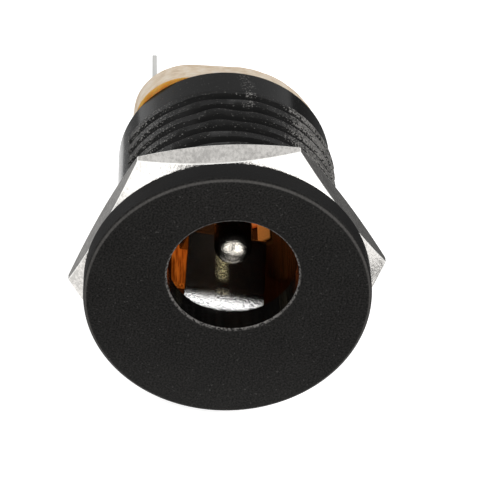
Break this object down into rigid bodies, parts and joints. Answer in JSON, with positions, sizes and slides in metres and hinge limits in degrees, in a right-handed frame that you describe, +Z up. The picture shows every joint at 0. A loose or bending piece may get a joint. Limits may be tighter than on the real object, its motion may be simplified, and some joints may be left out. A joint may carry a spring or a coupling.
{
  "type": "dc barrel jack",
  "caption": "Panel-mount power socket for a barrel plug: threaded plastic barrel with front flange, hex nut, centre pin, sleeve spring and solder tags.",
  "frame": {"origin": "on the barrel's axis, in the plane where the flange's back face meets the panel", "axes": "+Y along the barrel to the back, +Z up towards the plug opening's side, +X right as seen from the front"},
  "size_m": [0.0156, 0.0183, 0.0156],
  "materials": {
    "moulded_black": "fine spark-eroded matt on the flange, smooth in the bore",
    "nut_nickel": "bright nickel plate, lightly brushed",
    "phenolic_board": "paper-phenolic board, pale sawn edge",
    "contact_nickel": "bright nickel plate",
    "tag_tin": "tinned strip, satin"
  },
  "bodies": {
    "jack": {"housing": "moulded_black", "terminal_plate": "phenolic_board", "centre_pin": "contact_nickel", "pin_tag": "tag_tin", "sleeve_contact": "contact_nickel", "switch_contact": "tag_tin"},
    "nut": {"hex_nut": "nut_nickel"}
  },
  "joints": [
    {"name": "nut_travel", "type": "slide", "parent": "jack", "child": "nut", "axis": [0, 1, 0], "range_m": [0, 0.0079]}
  ]
}
